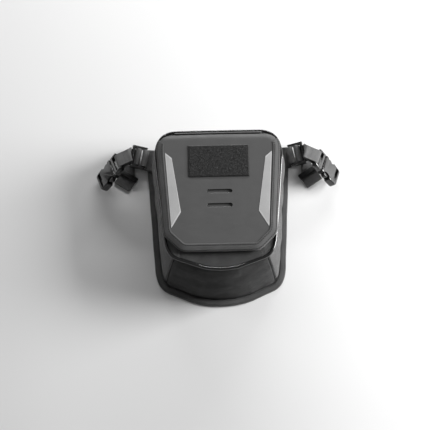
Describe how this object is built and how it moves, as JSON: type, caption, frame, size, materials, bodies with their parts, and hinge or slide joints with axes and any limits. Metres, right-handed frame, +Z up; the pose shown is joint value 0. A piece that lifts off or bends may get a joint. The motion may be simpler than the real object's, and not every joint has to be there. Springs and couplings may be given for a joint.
{
  "type": "motorcycle tank bag",
  "caption": "Small motorcycle tank bag: soft box body on a stiff base, moulded hinged lid with a loop patch and reflective panels, and front straps with ladder locks and side-release buckles.",
  "frame": {"origin": "middle of the bag's length and width, on the underside that rests on the tank", "axes": "+Z up through the lid, +Y towards the handlebar, +X towards the rider's right"},
  "size_m": [0.3368, 0.235, 0.0905],
  "materials": {
    "shell_fabric": "coated dark grey polyester weave",
    "rear_fabric": "softer matt black-grey weave",
    "binding_tape": "ribbed binding tape with lock stitching",
    "base_rubber": "matt non-slip dimpled rubber",
    "board": "plain plastic stiffener",
    "foam": "closed-cell foam",
    "lining": "light grey thin nylon",
    "piping": "glossy black covered cord",
    "moulded_lid": "smooth satin film on moulded foam",
    "loop_pile": "fuzzy loop pile",
    "reflective": "silver reflective film",
    "webbing": "woven polypropylene webbing",
    "acetal": "glossy black acetal",
    "elastic": "ribbed black elastic"
  },
  "bodies": {
    "bag": {"base_panel": "base_rubber", "base_board": "board", "base_binding": "binding_tape", "floor_pad": "foam", "front_wall": "shell_fabric", "rear_wall": "rear_fabric", "gusset_right": "shell_fabric", "gusset_left": "shell_fabric", "foam_walls": "foam", "inner_lining": "lining", "rim_piping": "piping", "top_deck": "shell_fabric", "closure_loop_strip": "loop_pile", "lid_hinge_tape": "binding_tape", "wing_root_right": "shell_fabric", "wing_root_left": "shell_fabric"},
    "lid": {"lid_shell": "moulded_lid", "lid_binding": "binding_tape", "lid_lining": "lining", "loop_patch": "loop_pile", "reflector_right": "reflective", "reflector_left": "reflective", "closure_hook_strip": "loop_pile"},
    "wing_right": {"strap_wing_right": "shell_fabric", "wing_loop_right": "webbing"},
    "lock_right": {"ladder_lock_right": "acetal", "strap_webbing_right": "webbing", "strap_tail_right": "webbing", "tail_keeper_right": "elastic"},
    "plug_right": {"buckle_plug_right": "acetal"},
    "arm_front_right": {"latch_arm_front_right": "acetal"},
    "arm_rear_right": {"latch_arm_rear_right": "acetal"},
    "socket_right": {"buckle_socket_right": "acetal"},
    "wing_left": {"strap_wing_left": "shell_fabric", "wing_loop_left": "webbing"},
    "lock_left": {"ladder_lock_left": "acetal", "strap_webbing_left": "webbing", "strap_tail_left": "webbing", "tail_keeper_left": "elastic"},
    "plug_left": {"buckle_plug_left": "acetal"},
    "arm_front_left": {"latch_arm_front_left": "acetal"},
    "arm_rear_left": {"latch_arm_rear_left": "acetal"},
    "socket_left": {"buckle_socket_left": "acetal"}
  },
  "joints": [
    {"name": "lid_hinge", "type": "hinge", "parent": "bag", "child": "lid", "pos_m": [0, 0.0992, 0.0895], "axis": [-1, 0, 0], "range_deg": [0, 150]},
    {"name": "wing_fold_right", "type": "hinge", "parent": "bag", "child": "wing_right", "pos_m": [0.0966, 0.0945, 0.0054], "axis": [0.1736, -0.9848, 0], "range_deg": [-35, 18]},
    {"name": "lock_swing_right", "type": "hinge", "parent": "wing_right", "child": "lock_right", "pos_m": [0.10231, 0.09551, 0.0101], "axis": [0.1736, -0.9848, 0], "range_deg": [-25, 15]},
    {"name": "buckle_tilt_right", "type": "hinge", "parent": "lock_right", "child": "plug_right", "pos_m": [0.1355, 0.081, 0.0352], "axis": [-0.2952, -0.8594, 0.4176], "range_deg": [-10, 30]},
    {"name": "arm_front_press_right", "type": "hinge", "parent": "plug_right", "child": "arm_front_right", "pos_m": [0.14498, 0.08301, 0.02448], "axis": [-0.7406, -0.0703, -0.6683], "range_deg": [0, 6], "stiffness_Nm_per_rad": 0.2},
    {"name": "arm_rear_press_right", "type": "hinge", "parent": "plug_right", "child": "arm_rear_right", "pos_m": [0.13967, 0.06754, 0.032], "axis": [0.7406, 0.0703, 0.6683], "range_deg": [0, 6], "stiffness_Nm_per_rad": 0.2},
    {"name": "socket_release_right", "type": "slide", "parent": "plug_right", "child": "socket_right", "axis": [0.6037, -0.5065, -0.6157], "range_m": [0, 0.02], "deforming": ["latch_arm_front_right", "latch_arm_rear_right"]},
    {"name": "wing_fold_left", "type": "hinge", "parent": "bag", "child": "wing_left", "pos_m": [-0.0966, 0.0945, 0.0054], "axis": [0.1736, 0.9848, 0], "range_deg": [-35, 18]},
    {"name": "lock_swing_left", "type": "hinge", "parent": "wing_left", "child": "lock_left", "pos_m": [-0.10231, 0.09551, 0.0101], "axis": [0.1736, 0.9848, 0], "range_deg": [-25, 15]},
    {"name": "buckle_tilt_left", "type": "hinge", "parent": "lock_left", "child": "plug_left", "pos_m": [-0.1355, 0.081, 0.0352], "axis": [-0.2952, 0.8594, -0.4176], "range_deg": [-10, 30]},
    {"name": "arm_front_press_left", "type": "hinge", "parent": "plug_left", "child": "arm_front_left", "pos_m": [-0.14498, 0.08301, 0.02448], "axis": [-0.7406, 0.0703, 0.6683], "range_deg": [0, 6], "stiffness_Nm_per_rad": 0.2},
    {"name": "arm_rear_press_left", "type": "hinge", "parent": "plug_left", "child": "arm_rear_left", "pos_m": [-0.13967, 0.06754, 0.032], "axis": [0.7406, -0.0703, -0.6683], "range_deg": [0, 6], "stiffness_Nm_per_rad": 0.2},
    {"name": "socket_release_left", "type": "slide", "parent": "plug_left", "child": "socket_left", "axis": [-0.6037, -0.5065, -0.6157], "range_m": [0, 0.02], "deforming": ["latch_arm_front_left", "latch_arm_rear_left"]}
  ]
}
